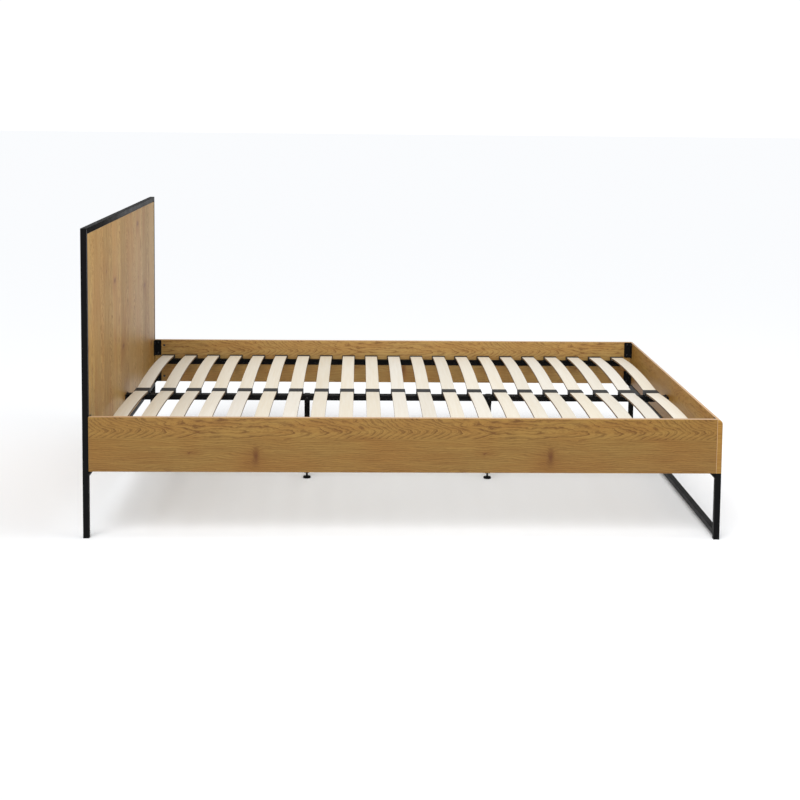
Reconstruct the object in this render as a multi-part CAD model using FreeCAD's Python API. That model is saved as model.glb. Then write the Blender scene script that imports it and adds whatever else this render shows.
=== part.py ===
"""Slatted queen-size bed frame: oak boards on a black square-tube frame.

Units are millimetres. +X runs from the head to the foot, +Z is up, and the
origin is on the floor under the middle of the frame. Left (+Y) and right (-Y)
are the sleeper's, lying on their back with the head at -X.
"""
import FreeCAD
import Part
import math
import os
from FreeCAD import Vector

# ---- overall sizes -------------------------------------------------------
overall_length = 2120.0
overall_width = 1590.0
overall_height = 1030.0

# ---- square tube of the head and foot frames -----------------------------
tube = 20.0
tube_wall = 1.5
tube_corner = 1.6

# ---- oak boards ----------------------------------------------------------
board = 18.0
rail_height = 183.0
rail_bottom = 225.0
board_edge_round = 1.0
foot_nose_round = 16.0
foot_end_round = 1.5

# ---- feet and the floor bar ----------------------------------------------
glide_height = 6.0
glide_plug_depth = 12.0
floor_bar_lift = 12.0

# ---- slats and their rubber caps -----------------------------------------
slat_rows = 21
slat_pitch = 97.9
slat_width = 50.0
slat_thick = 8.0
slat_rise = 15.0
slat_round = 1.6
slat_end_top = 341.0
slat_end_gap = 1.0
cap_side_wall = 2.5
cap_back_wall = 2.0
cap_lip = 1.8
cap_round = 1.2
side_cap_depth = 20.0
centre_cap_depth = 27.0
centre_web = 4.0
cap_play = 0.3
stud_diameter = 8.0
stud_length = 8.0
centre_stud_spacing = 24.0

# ---- steel ledger angle under the outer slat caps ------------------------
ledger_flange = 22.0
ledger_leg = 26.0
ledger_thick = 2.5
ledger_end_margin = 2.0
ledger_screws = 7
ledger_screw_margin = 108.5

# ---- inside corner brackets ----------------------------------------------
bracket_leg = 29.0
bracket_thick = 2.5
bracket_upper_height = 66.0
bracket_lower_height = 55.0
bracket_edge_gap = 1.0
bracket_screw_inset = 11.0

# ---- centre rail, its end brackets, legs and saddles ---------------------
centre_rail_width = 2 * tube
centre_rail_height = 20.0
centre_rail_wall = 1.5
centre_rail_top = 327.0
end_bracket_plate = 2.5
end_bracket_half_width = centre_rail_width / 2 + 13.0
end_bracket_drop = 20.0
end_bracket_shelf = 30.0
end_bracket_cheek = 16.0
leg_row = 4
leg_cap_gap = 5.1
leg_plate = 2.5
leg_plate_length = 20.0
saddle_thick = 2.0
saddle_drop = 10.0
leg_bottom = 25.0
insert_flange = 3.0
insert_depth = 18.0
adjuster_stud = 8.0
adjuster_stud_length = 40.0
adjuster_pad = 30.0
adjuster_pad_height = 8.0
adjuster_rim = 1.5

# ---- small gussets under the rail ends -----------------------------------
gusset_width = 12.0
foot_gusset_reach = 16.0
foot_gusset_drop = 15.0
head_gusset_reach = 9.0
head_gusset_drop = 10.0

# ---- fasteners -----------------------------------------------------------
bolt = 6.0
bolt_head = 11.0
bolt_head_height = 3.5
bolt_socket = 4.0
bolt_edge = 24.0
barrel_nut = 10.0
barrel_nut_length = 14.0
barrel_nut_inset = 41.5
bolt_past_nut = 4.0
screw = 4.0
screw_length = 14.0
tube_screw_length = 8.0
screw_head = 8.0
screw_head_height = 2.2
screw_socket = 3.0
panel_screw_reach = 30.0
hole_play = 0.3
access_play = 1.0

# ---- positions that follow from the sizes above --------------------------
half_length = overall_length / 2
half_width = overall_width / 2
rail_top = rail_bottom + rail_height
rail_inner = half_width - board
post_inner = half_width - tube
head_face = -half_length + tube
foot_face = half_length - board
foot_tube_face = half_length - tube
slat_outer_end = rail_inner - cap_back_wall - slat_end_gap
slat_inner_end = centre_web / 2 + slat_end_gap
slat_chord = slat_outer_end - slat_inner_end
slat_middle = (slat_outer_end + slat_inner_end) / 2
slat_radius = (slat_chord ** 2 / 4 + slat_rise ** 2) / (2 * slat_rise)
slat_first = -slat_pitch * (slat_rows - 1) / 2
cap_half = slat_width / 2 + cap_side_wall
cap_floor = slat_end_top - slat_thick
ledger_top = cap_floor - 5.0
ledger_screw_level = ledger_top - ledger_leg / 2 - 1.5
ledger_half = slat_pitch * (slat_rows - 1) / 2 + cap_half + ledger_end_margin
ledger_screw_pitch = 2 * (ledger_half - ledger_screw_margin) / (ledger_screws - 1)
stud_inset = side_cap_depth / 2
centre_rail_bottom = centre_rail_top - centre_rail_height
leg_offset = slat_pitch * leg_row - cap_half - leg_cap_gap - leg_plate_length / 2
centre_rail_half = centre_rail_width / 2
bracket_upper_base = rail_top - bracket_edge_gap - bracket_upper_height
bracket_lower_base = rail_bottom + bracket_edge_gap
bracket_screw_out = (bracket_leg + bracket_thick) / 2
post_centre = half_width - tube / 2
rail_centre = half_width - board / 2
head_panel_centre = head_face - board / 2
foot_panel_centre = half_length - board / 2

X = Vector(1, 0, 0)
Y = Vector(0, 1, 0)
Z = Vector(0, 0, 1)
ORIGIN = Vector(0, 0, 0)


def block(x, y, z):
    """A box from three (low, high) pairs."""
    return Part.makeBox(x[1] - x[0], y[1] - y[0], z[1] - z[0], Vector(x[0], y[0], z[0]))


def rod(diameter, start, direction, length):
    """A cylinder from a start point along a direction."""
    return Part.makeCylinder(diameter / 2, length, Vector(*start), direction)


def across(shape):
    """The same shape on the other side of the bed."""
    return shape.mirror(ORIGIN, Y)


def moved(shape, x=0.0, y=0.0, z=0.0):
    """A copy of the shape, shifted."""
    copy = shape.copy()
    copy.translate(Vector(x, y, z))
    return copy


def edges_along(shape, axis, keep=None):
    """The straight edges that run along an axis, for rounding."""
    found = []
    for edge in shape.Edges:
        if edge.Curve.TypeId != "Part::GeomLine":
            continue
        along = (edge.Vertexes[-1].Point - edge.Vertexes[0].Point).normalize()
        if abs(along.dot(axis)) > 0.999 and (keep is None or keep(edge.CenterOfMass)):
            found.append(edge)
    return found


def square_tube(x, y, z, axis, wall, corner):
    """A hollow square or flat tube, open at both ends, with rounded outer corners."""
    solid = block(x, y, z)
    solid = solid.makeFillet(corner, edges_along(solid, axis))
    inner = []
    for size, direction in ((x, X), (y, Y), (z, Z)):
        shrink = -1.0 if direction == axis else wall
        inner.append((size[0] + shrink, size[1] - shrink))
    return solid.cut(block(*inner))


def cut_all(shape, cutters):
    """The shape less every cutter."""
    return shape.cut(Part.makeCompound(cutters)) if cutters else shape


def write(node, solids):
    """One STEP file for one named node, holding its solids."""
    shape = solids[0] if len(solids) == 1 else Part.makeCompound(solids)
    shape.exportStep("parts/" + node + ".step")


def slat_top(y):
    """Height of a slat's upper face at a distance from the centre line."""
    drop = slat_radius - (slat_radius ** 2 - (y - slat_middle) ** 2) ** 0.5
    return slat_end_top + slat_rise - drop


def bowed_strip(low, high, under, over, width):
    """A strip bent to the slat's arc, with extra thickness below and above it."""
    centre = Vector(0, slat_middle, slat_end_top + slat_rise - slat_radius)
    inner = slat_radius - slat_thick - under
    outer = slat_radius + over
    ring = Part.makeCylinder(outer, width, centre, X)
    ring = ring.cut(Part.makeCylinder(inner, width, centre, X))
    ring.translate(Vector(-width / 2, 0, 0))
    keep = block((-width, width), (low, high), (cap_floor - 50, slat_end_top + 100))
    return ring.common(keep)


def bowed_slat():
    """One left-hand slat: a strip with rounded long edges, turned along the arc."""
    centre = Vector(0, slat_middle, slat_end_top + slat_rise - slat_radius)
    half = slat_width / 2
    corners = []
    for sx, sz in ((-1, 0), (1, 0), (1, 1), (-1, 1)):
        corners.append(Vector(sx * half, slat_middle, slat_end_top + slat_rise - slat_thick * (1 - sz)))
    outline = []
    starts = []
    for index, here in enumerate(corners):
        before = (corners[index - 1] - here).normalize() * slat_round
        after = (corners[(index + 1) % 4] - here).normalize() * slat_round
        bend = here + (before + after) * (1 - 0.5 ** 0.5)
        outline.append(Part.Arc(here + before, bend, here + after).toShape())
        starts.append((here + before, here + after))
    for index in range(4):
        outline.append(Part.makeLine(starts[index][1], starts[(index + 1) % 4][0]))
    section = Part.Face(Part.Wire(Part.__sortEdges__(outline)))
    sweep = 2 * math.degrees(math.asin(slat_chord / 2 / slat_radius))
    section.rotate(centre, X, -sweep / 2)
    return section.revolve(centre, X, sweep)


# ---- fasteners, each built once and placed many times --------------------
def wood_screw(start, direction, length=screw_length):
    """A pan-head screw; start is the point under its head."""
    back = Vector(*start) - direction * screw_head_height
    shape = rod(screw, start, direction, length)
    shape = shape.fuse(Part.makeCylinder(screw_head / 2, screw_head_height, back, direction))
    socket = Part.makeCylinder(screw_socket / 2, screw_head_height * 0.6, back, direction)
    return shape.cut(socket)


def screw_bore(start, direction, length=screw_length):
    """The hole that a wood screw needs, slightly larger and deeper than its shank."""
    behind = Vector(*start) - direction
    return Part.makeCylinder(screw / 2 + hole_play, length + 2.0, behind, direction)


# ---- head frame ----------------------------------------------------------
bolt_levels = (rail_bottom + bolt_edge, rail_top - bolt_edge)
head_panel_top = overall_height - tube
panel_screw_levels = []
for step in (0.12, 0.5, 0.88):
    panel_screw_levels.append(rail_top + (head_panel_top - rail_top) * step)

head_post = square_tube(
    (-half_length, head_face),
    (post_inner, half_width),
    (glide_height, overall_height),
    Z, tube_wall, tube_corner)
mitre = Part.makePolygon([
    Vector(-half_length - 5, half_width + 5, overall_height + 5),
    Vector(-half_length - 5, post_inner - 5, overall_height + 5),
    Vector(-half_length - 5, post_inner - 5, overall_height - tube - 5),
    Vector(-half_length - 5, half_width + 5, overall_height + 5),
])
mitre = Part.Face(mitre).extrude(X * (tube + 10))
cutters = [mitre]
bolts = []
barrel_nuts = []
rail_bores = []
for level in bolt_levels:
    seat = head_face - tube_wall
    length = tube_wall + barrel_nut_inset + bolt_past_nut
    shank = rod(bolt, (seat, rail_centre, level), X, length)
    head = rod(bolt_head, (seat - bolt_head_height, rail_centre, level), X, bolt_head_height)
    socket = rod(bolt_socket, (seat - bolt_head_height, rail_centre, level), X, bolt_head_height / 2)
    bolts.append(shank.fuse(head).cut(socket))
    cutters.append(rod(bolt + 2 * hole_play, (seat - 1, rail_centre, level), X, tube_wall + 2))
    cutters.append(rod(bolt_head + 2 * access_play, (-half_length - 1, rail_centre, level), X, tube_wall + 2))
    nut_x = head_face + barrel_nut_inset
    nut = rod(barrel_nut, (nut_x, rail_inner, level), Y, barrel_nut_length)
    thread = rod(bolt + 2 * hole_play, (nut_x - barrel_nut, rail_centre, level), X, 2 * barrel_nut)
    barrel_nuts.append(nut.cut(thread))
    rail_bores.append(rod(barrel_nut + 2 * hole_play, (nut_x, rail_inner - 1, level), Y, barrel_nut_length + 1))
    rail_bores.append(rod(bolt + 2 * hole_play, (head_face - 1, rail_centre, level), X, length + 2))
panel_screws = []
head_panel_bores = []
for level in panel_screw_levels:
    start = (head_panel_centre, post_inner + tube_wall, level)
    panel_screws.append(wood_screw(start, -Y, panel_screw_reach))
    head_panel_bores.append(screw_bore(start, -Y, panel_screw_reach))
    cutters.append(screw_bore(start, -Y, tube_wall + 1))
    cutters.append(rod(screw_head + 2 * access_play, (head_panel_centre, half_width - tube_wall - 1, level), Y, tube_wall + 2))
head_post = cut_all(head_post, cutters)

top_tube = square_tube(
    (-half_length, head_face),
    (-half_width, half_width),
    (overall_height - tube, overall_height),
    Y, tube_wall, tube_corner)
corner = Part.makePolygon([
    Vector(-half_length - 5, half_width + 5, overall_height + 5),
    Vector(-half_length - 5, half_width + 5, overall_height - tube - 5),
    Vector(-half_length - 5, post_inner - 5, overall_height - tube - 5),
    Vector(-half_length - 5, half_width + 5, overall_height + 5),
])
corner = Part.Face(corner).extrude(X * (tube + 10))
top_tube = cut_all(top_tube, [corner, across(corner)])
lower_tube = square_tube(
    (-half_length, head_face),
    (-post_inner, post_inner),
    (rail_bottom - tube, rail_bottom),
    Y, tube_wall, tube_corner)

# ---- inside corner brackets, upper and lower in each corner --------------
bracket_screws = []
rail_screw_bores = []
head_board_bores = []
foot_board_bores = []


def corner_pair(face, inward):
    """The upper and lower angle in a left-hand corner, against an end board at x = face."""
    pair = []
    for base, height in (
        (bracket_lower_base, bracket_lower_height),
        (bracket_upper_base, bracket_upper_height),
    ):
        far = face + inward * bracket_leg
        thin = face + inward * bracket_thick
        on_rail = block(sorted((face, far)), (rail_inner - bracket_thick, rail_inner), (base, base + height))
        on_end = block(sorted((face, thin)), (rail_inner - bracket_leg, rail_inner), (base, base + height))
        angle = on_rail.fuse(on_end).removeSplitter()
        holes = []
        for level in (base + bracket_screw_inset, base + height - bracket_screw_inset):
            side = (face + inward * bracket_screw_out, rail_inner - bracket_thick, level)
            end = (thin, rail_inner - bracket_screw_out, level)
            bracket_screws.append(wood_screw(side, Y))
            bracket_screws.append(wood_screw(end, -X * inward))
            holes.append(screw_bore(side, Y))
            holes.append(screw_bore(end, -X * inward))
            rail_screw_bores.append(holes[-2])
            (head_board_bores if inward > 0 else foot_board_bores).append(holes[-1])
        pair.append(cut_all(angle, holes))
    return pair


head_corner = corner_pair(head_face, 1)
foot_corner = corner_pair(foot_face, -1)

# ---- steel ledger along the inside of each side rail ---------------------
ledger = block((-ledger_half, ledger_half), (rail_inner - ledger_thick, rail_inner), (ledger_top - ledger_leg, ledger_top))
flange = block((-ledger_half, ledger_half), (rail_inner - ledger_flange, rail_inner), (ledger_top - ledger_thick, ledger_top))
ledger = ledger.fuse(flange).removeSplitter()
ledger_fasteners = []
cutters = []
for index in range(ledger_screws):
    x = (index - (ledger_screws - 1) / 2) * ledger_screw_pitch
    start = (x, rail_inner - ledger_thick, ledger_screw_level)
    ledger_fasteners.append(wood_screw(start, Y))
    cutters.append(screw_bore(start, Y))
rail_screw_bores += cutters
slat_places = [slat_first + slat_pitch * index for index in range(slat_rows)]
stud_holes = []
for x in slat_places:
    stud_holes.append(rod(stud_diameter + 2 * hole_play, (x, rail_inner - stud_inset, ledger_top - 10), Z, 12))
ledger = cut_all(ledger, cutters + stud_holes)

# ---- boards --------------------------------------------------------------
side_rail = block((head_face, foot_face), (rail_inner, half_width), (rail_bottom, rail_top))
side_rail = side_rail.makeFillet(board_edge_round, edges_along(side_rail, X))
side_rail = cut_all(side_rail, rail_bores + rail_screw_bores)

foot_board = block((foot_face, half_length), (-half_width, half_width), (rail_bottom, rail_top))
foot_board = foot_board.makeFillet(
    foot_end_round, edges_along(foot_board, Z, lambda p: p.x > foot_panel_centre))
foot_board = foot_board.makeFillet(
    foot_nose_round, edges_along(foot_board, Y, lambda p: p.x > foot_panel_centre and p.z > rail_bottom + 1))
head_panel = block((head_face - board, head_face), (-post_inner, post_inner), (rail_bottom, head_panel_top))

# ---- centre rail with an end bracket at each board -----------------------
centre_rail = square_tube(
    (head_face + end_bracket_plate, foot_face - end_bracket_plate),
    (-centre_rail_half, centre_rail_half),
    (centre_rail_bottom, centre_rail_top),
    X, centre_rail_wall, tube_corner)
centre_screws = []
centre_rail_bores = []


def rail_end_bracket(face, inward):
    """A plate on an end board with a shelf and two cheeks that hold the centre rail."""
    base = centre_rail_bottom - end_bracket_plate
    thin = face + inward * end_bracket_plate
    far = thin + inward * end_bracket_shelf
    outer = centre_rail_half + end_bracket_plate
    plate = block(
        sorted((face, thin)),
        (-end_bracket_half_width, end_bracket_half_width),
        (centre_rail_bottom - end_bracket_drop, centre_rail_top))
    shelf = block(sorted((thin, far)), (-outer, outer), (base, centre_rail_bottom))
    cheek = block(sorted((thin, far)), (centre_rail_half, outer), (base, centre_rail_bottom + end_bracket_cheek))
    shape = plate.fuse([shelf, cheek, across(cheek)]).removeSplitter()
    middle = centre_rail_bottom + centre_rail_height / 2
    low = centre_rail_bottom - end_bracket_drop / 2 - 1
    holes = []
    for y, z in ((outer + 5.5, middle), (-outer - 5.5, middle), (centre_rail_half * 0.7, low), (-centre_rail_half * 0.7, low)):
        start = (thin, y, z)
        centre_screws.append(wood_screw(start, -X * inward))
        holes.append(screw_bore(start, -X * inward))
    (head_board_bores if inward > 0 else foot_board_bores).extend(holes)
    return cut_all(shape, holes)


head_bracket = rail_end_bracket(head_face, 1)
foot_bracket = rail_end_bracket(foot_face, -1)

# ---- centre legs, their saddles, inserts and adjustable feet -------------
leg = square_tube(
    (-tube / 2, tube / 2), (-tube / 2, tube / 2),
    (leg_bottom, centre_rail_bottom - leg_plate),
    Z, tube_wall, tube_corner)
top_plate = block(
    (-leg_plate_length / 2, leg_plate_length / 2),
    (-centre_rail_half, centre_rail_half),
    (centre_rail_bottom - leg_plate, centre_rail_bottom))
leg = leg.fuse(top_plate)
saddle_outer = block(
    (-leg_plate_length / 2, leg_plate_length / 2),
    (-centre_rail_half - saddle_thick, centre_rail_half + saddle_thick),
    (centre_rail_bottom - saddle_drop, centre_rail_top + saddle_thick))
saddle_inner = block(
    (-leg_plate_length, leg_plate_length),
    (-centre_rail_half, centre_rail_half),
    (centre_rail_bottom - saddle_drop - 1, centre_rail_top))
saddle = saddle_outer.cut(saddle_inner)
leg_holes = []
saddle_holes = []
leg_fasteners = []
for side in (1, -1):
    under = (0, side * (tube / 2 + centre_rail_half) / 2, centre_rail_bottom - leg_plate)
    beside = (0, side * (centre_rail_half + saddle_thick), centre_rail_bottom + centre_rail_height / 2)
    leg_fasteners.append(wood_screw(under, Z, tube_screw_length))
    leg_fasteners.append(wood_screw(beside, -Y * side, tube_screw_length))
    leg_holes.append(screw_bore(under, Z, tube_screw_length))
    saddle_holes.append(screw_bore(beside, -Y * side, tube_screw_length))
leg = cut_all(leg, leg_holes)
saddle = cut_all(saddle, saddle_holes)
for offset in (-leg_offset, leg_offset):
    for hole in leg_holes + saddle_holes:
        centre_rail_bores.append(moved(hole, offset))
    for fastener in leg_fasteners:
        centre_screws.append(moved(fastener, offset))

bore = tube - 2 * tube_wall
insert = block((-tube / 2, tube / 2), (-tube / 2, tube / 2), (leg_bottom - insert_flange, leg_bottom))
plug_half = bore / 2 - hole_play
plug = block((-plug_half, plug_half), (-plug_half, plug_half), (leg_bottom, leg_bottom + insert_depth))
insert = insert.fuse(plug).removeSplitter()
insert = insert.cut(rod(adjuster_stud + 2 * hole_play, (0, 0, 0), Z, 2 * leg_bottom + insert_depth))
pad = rod(adjuster_pad, (0, 0, 0), Z, adjuster_pad_height)
pad = pad.makeChamfer(adjuster_rim, pad.Edges)
adjuster = pad.fuse(rod(adjuster_stud, (0, 0, adjuster_pad_height - 2), Z, adjuster_stud_length + 2))

# ---- foot frame ----------------------------------------------------------
foot_post = square_tube(
    (foot_tube_face, half_length), (post_inner, half_width), (glide_height, rail_bottom),
    Z, tube_wall, tube_corner)
foot_top_tube = square_tube(
    (foot_tube_face, half_length), (-post_inner, post_inner), (rail_bottom - tube, rail_bottom),
    Y, tube_wall, tube_corner)
floor_bar = square_tube(
    (foot_tube_face, half_length), (-post_inner, post_inner), (floor_bar_lift, floor_bar_lift + tube),
    Y, tube_wall, tube_corner)
foot_edge_bores = []
top_tube_holes = []
for fraction in (-0.8, -0.27, 0.27, 0.8):
    start = (foot_panel_centre, fraction * post_inner, rail_bottom - tube_wall)
    panel_screws.append(wood_screw(start, Z, panel_screw_reach))
    foot_edge_bores.append(screw_bore(start, Z, panel_screw_reach))
    top_tube_holes.append(rod(screw_head + 2 * access_play, (start[0], start[1], rail_bottom - tube - 1), Z, tube_wall + 2))
foot_top_tube = cut_all(foot_top_tube, top_tube_holes + foot_edge_bores)

# ---- gussets in the angle between each post and the rail above it --------
def gusset(face, reach, drop):
    """A triangular rest under a left-hand rail end; reach is signed along X."""
    low = post_centre - gusset_width / 2
    outline = Part.makePolygon([
        Vector(face, low, rail_bottom),
        Vector(face + reach, low, rail_bottom),
        Vector(face, low, rail_bottom - drop),
        Vector(face, low, rail_bottom),
    ])
    return Part.Face(outline).extrude(Y * gusset_width)


gussets = [
    gusset(head_face, head_gusset_reach, head_gusset_drop),
    gusset(foot_tube_face, -foot_gusset_reach, foot_gusset_drop),
]

# ---- glides that close the open ends of the four posts -------------------
glide = block((-tube / 2, tube / 2), (-tube / 2, tube / 2), (0, glide_height))
glide = glide.makeFillet(1.0, edges_along(glide, Z))
plug = block((-plug_half, plug_half), (-plug_half, plug_half), (glide_height, glide_height + glide_plug_depth))
glide = glide.fuse(plug)
glides = [moved(glide, -half_length + tube / 2, post_centre), moved(glide, half_length - tube / 2, post_centre)]

# ---- slats and caps ------------------------------------------------------
slat = bowed_slat()

cap_inner_face = rail_inner - side_cap_depth
side_cap = block((-cap_half, cap_half), (cap_inner_face, rail_inner), (ledger_top, slat_top(cap_inner_face) + cap_lip))
side_cap = side_cap.makeFillet(cap_round, edges_along(side_cap, Z) + edges_along(side_cap, Y, lambda p: p.z > cap_floor))
pocket = bowed_strip(cap_inner_face - 1, rail_inner - cap_back_wall, 0.0, cap_play, slat_width + 2 * cap_play)
side_stud = rod(stud_diameter, (0, rail_inner - stud_inset, ledger_top - stud_length), Z, stud_length + 1)
side_cap = side_cap.cut(pocket).fuse(side_stud)

centre_cap = block(
    (-cap_half, cap_half), (-centre_cap_depth, centre_cap_depth),
    (centre_rail_top, slat_top(centre_cap_depth) + cap_lip))
centre_cap = centre_cap.makeFillet(cap_round, edges_along(centre_cap, Z) + edges_along(centre_cap, Y, lambda p: p.z > cap_floor))
pocket = bowed_strip(centre_web / 2, centre_cap_depth + 1, 0.0, cap_play, slat_width + 2 * cap_play)
centre_cap = centre_cap.cut(pocket).cut(across(pocket))
for side in (1, -1):
    y = side * centre_stud_spacing / 2
    centre_cap = centre_cap.fuse(rod(stud_diameter, (0, y, centre_rail_top - stud_length), Z, stud_length + 1))
    for x in slat_places:
        centre_rail_bores.append(rod(stud_diameter + 2 * hole_play, (x, y, centre_rail_top - 6), Z, 8))
centre_rail = cut_all(centre_rail, centre_rail_bores)

# ---- holes in the end boards ---------------------------------------------
mirrored = head_board_bores[:8] + head_panel_bores
head_board = cut_all(head_panel, head_board_bores + head_panel_bores + [across(hole) for hole in mirrored])
foot_mirror = [across(hole) for hole in foot_board_bores]
foot_board = cut_all(foot_board, foot_board_bores + foot_mirror + foot_edge_bores)

# ---- one file per node ---------------------------------------------------
os.makedirs("parts", exist_ok=True)
both_sides = {
    "head_post": [head_post],
    "side_rail": [side_rail],
    "foot_post": [foot_post],
    "ledger": [ledger],
    "head_corner_brackets": head_corner,
    "foot_corner_brackets": foot_corner,
    "outer_slat_caps": [moved(side_cap, x) for x in slat_places],
}
for name, solids in both_sides.items():
    write(name + "_left", solids)
    write(name + "_right", [across(solid) for solid in solids])
write("headboard_panel", [head_board])
write("headboard_top_tube", [top_tube])
write("headboard_lower_tube", [lower_tube])
write("footboard_panel", [foot_board])
write("foot_top_tube", [foot_top_tube])
write("foot_floor_bar", [floor_bar])
write("centre_rail", [centre_rail])
write("centre_rail_bracket_head", [head_bracket])
write("centre_rail_bracket_foot", [foot_bracket])
for name, offset in (("head", -leg_offset), ("foot", leg_offset)):
    write("centre_leg_" + name, [moved(leg, offset)])
    write("adjuster_foot_" + name, [moved(adjuster, offset)])
write("leg_saddles", [moved(saddle, offset) for offset in (-leg_offset, leg_offset)])
write("leg_inserts", [moved(insert, offset) for offset in (-leg_offset, leg_offset)])
write("rail_gussets", gussets + [across(shape) for shape in gussets])
write("post_glides", glides + [across(shape) for shape in glides])
write("centre_slat_caps", [moved(centre_cap, x) for x in slat_places])
for index, x in enumerate(slat_places):
    left = moved(slat, x)
    write("slat_row_%02d" % (index + 1), [left, across(left)])
write("rail_bolts", bolts + [across(shape) for shape in bolts])
write("barrel_nuts", barrel_nuts + [across(shape) for shape in barrel_nuts])
side_screws = [shape for shape in panel_screws if shape.BoundBox.XMax < 0]
write("panel_screws", panel_screws + [across(shape) for shape in side_screws])
write("bracket_screws", bracket_screws + [across(shape) for shape in bracket_screws])
write("ledger_screws", ledger_fasteners + [across(shape) for shape in ledger_fasteners])
write("centre_rail_screws", centre_screws)
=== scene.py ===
import math

import bmesh
import bpy
from bpy.props import FloatProperty, FloatVectorProperty, IntProperty, PointerProperty
from mathutils import Matrix, Vector


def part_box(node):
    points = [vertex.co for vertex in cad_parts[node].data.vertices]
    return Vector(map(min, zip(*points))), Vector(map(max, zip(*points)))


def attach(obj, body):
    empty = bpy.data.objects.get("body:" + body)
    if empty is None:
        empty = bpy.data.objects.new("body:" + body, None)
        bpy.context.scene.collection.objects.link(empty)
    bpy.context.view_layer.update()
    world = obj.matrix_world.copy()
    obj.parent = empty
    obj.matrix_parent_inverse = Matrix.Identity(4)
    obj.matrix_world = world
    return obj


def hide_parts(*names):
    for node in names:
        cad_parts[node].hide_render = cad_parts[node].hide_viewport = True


bl_info = {
    "name": "Slatted Bed Frame",
    "version": (1, 0, 0),
    "blender": (4, 5, 0),
    "location": "3D Viewport > Sidebar > Bed Frame",
    "description": "Oak boards, steel tubes, sprung slats and fittings of a slatted bed frame",
    "category": "Add Mesh",
}

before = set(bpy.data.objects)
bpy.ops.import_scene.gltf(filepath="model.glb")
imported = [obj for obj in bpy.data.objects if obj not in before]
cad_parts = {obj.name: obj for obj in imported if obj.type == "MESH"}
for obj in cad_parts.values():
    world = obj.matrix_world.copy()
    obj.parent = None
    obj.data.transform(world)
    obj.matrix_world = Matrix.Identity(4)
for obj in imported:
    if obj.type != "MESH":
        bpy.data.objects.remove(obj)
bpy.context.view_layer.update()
MM = 0.001

MATH, VECTOR, NOISE, RAMP, MIX = ("ShaderNodeMath", "ShaderNodeVectorMath", "ShaderNodeTexNoise",
                                  "ShaderNodeValToRGB", "ShaderNodeMix")
COMBINE, SEPARATE, PLACE = ("ShaderNodeCombineXYZ", "ShaderNodeSeparateXYZ", "ShaderNodeTexCoord")
BUMP, SHADER, OUTPUT = "ShaderNodeBump", "ShaderNodeBsdfPrincipled", "ShaderNodeOutputMaterial"
LINE, STORE, RANDOM = ("GeometryNodeMeshLine", "GeometryNodeStoreNamedAttribute",
                       "FunctionNodeRandomValue")
INSTANCES, REALIZE, SET_MATERIAL = ("GeometryNodeInstanceOnPoints", "GeometryNodeRealizeInstances",
                                    "GeometryNodeSetMaterial")

# the oak foil's print, in metres: it repeats along the grain, and once in each stave across it
PRINT_LENGTH = 0.977
HOOP_RADIUS = 0.1555  # of a hoop as long round as the print
STAVE = 0.184
STAVE_FOOT = 0.2245
STAVE_STAGGER = 0.2713  # how much further along the print each stave starts than the one below
# the arches' lower limit, and the line that they point along
ARCH_FOOT = 0.3375
ARCH_LINE = 0.3605
# knots: (place along the print, height, half length, half height, strength)
KNOTS = ((0.2705, 0.2891, 0.006, 0.004, 0.9), (0.2705, 0.2891, 0.035, 0.012, 0.25),
         (0.4871, 0.2790, 0.009, 0.026, 0.85), (0.4780, 0.2700, 0.045, 0.045, 0.30),
         (0.2000, 0.2290, 0.013, 0.007, 0.5), (0.5700, 0.3330, 0.030, 0.004, 0.4))

SCREW_HEAD_RADIUS = 4 * MM
SCREW_HEAD = 2.2 * MM
STUD_RADIUS = 4.0 * MM
THREAD_DEPTH = 0.62 * MM
STUD_CHAMFER = 1.2 * MM
PAD_TOP = 8.0 * MM
# rims of the foot pads and the plugs, in mm: (in from the rim, height)
PAD_RIM = ((2.6, 0.0), (1.2, 0.4), (0.2, 1.6), (0.0, 2.8), (0.0, 5.2), (0.6, 6.4), (2.2, 7.4),
           (5.0, 7.9))
PLUG_RIM = ((0.8, -3.0), (0.0, -1.6), (0.0, -0.4), (0.4, -0.1), (1.2, -0.2))


# ---- small helpers -------------------------------------------------------
def linear(code):
    """A six-digit sRGB hex colour as linear red, green and blue."""
    parts = [int(code[i:i + 2], 16) / 255 for i in (0, 2, 4)]
    return tuple(c / 12.92 if c <= 0.04045 else ((c + 0.055) / 1.055) ** 2.4 for c in parts)


def add(tree, kind, sockets=(), operation=None, stops=(), **settings):
    """A new node with its operation and settings. sockets is a list in the order of the node's
    inputs, or a dict by name or number, and each entry is a value, or a node or an output to link
    from. stops are a colour ramp's (position, grey) pairs."""
    made = tree.nodes.new(kind)
    if operation:
        settings["operation"] = operation
    for name, value in settings.items():
        setattr(made, name, value)
    if stops:
        band = made.color_ramp.elements
        while len(band) < len(stops):
            band.new(0.5)
        for stop, (place, grey) in zip(band, stops):
            stop.position = place
            stop.color = (grey, grey, grey, 1.0)
    for key, value in sockets.items() if isinstance(sockets, dict) else enumerate(sockets):
        if isinstance(value, bpy.types.Node):
            value = value.outputs[0]
        if isinstance(value, bpy.types.NodeSocket):
            tree.links.new(value, made.inputs[key])
        else:
            made.inputs[key].default_value = value
    return made


def fresh(name):
    """A material with an empty node tree."""
    material = bpy.data.materials.new(name)
    material.use_nodes = True
    material.node_tree.nodes.clear()
    return material, material.node_tree


def link(name, mesh):
    """An object at the origin that holds the mesh."""
    made = bpy.data.objects.new(name, mesh)
    bpy.context.scene.collection.objects.link(made)
    return made


def shades(colour, *factors):
    """The colour made darker or lighter by each factor, with its alpha."""
    return [(*[c * factor for c in colour], 1) for factor in factors]


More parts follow.
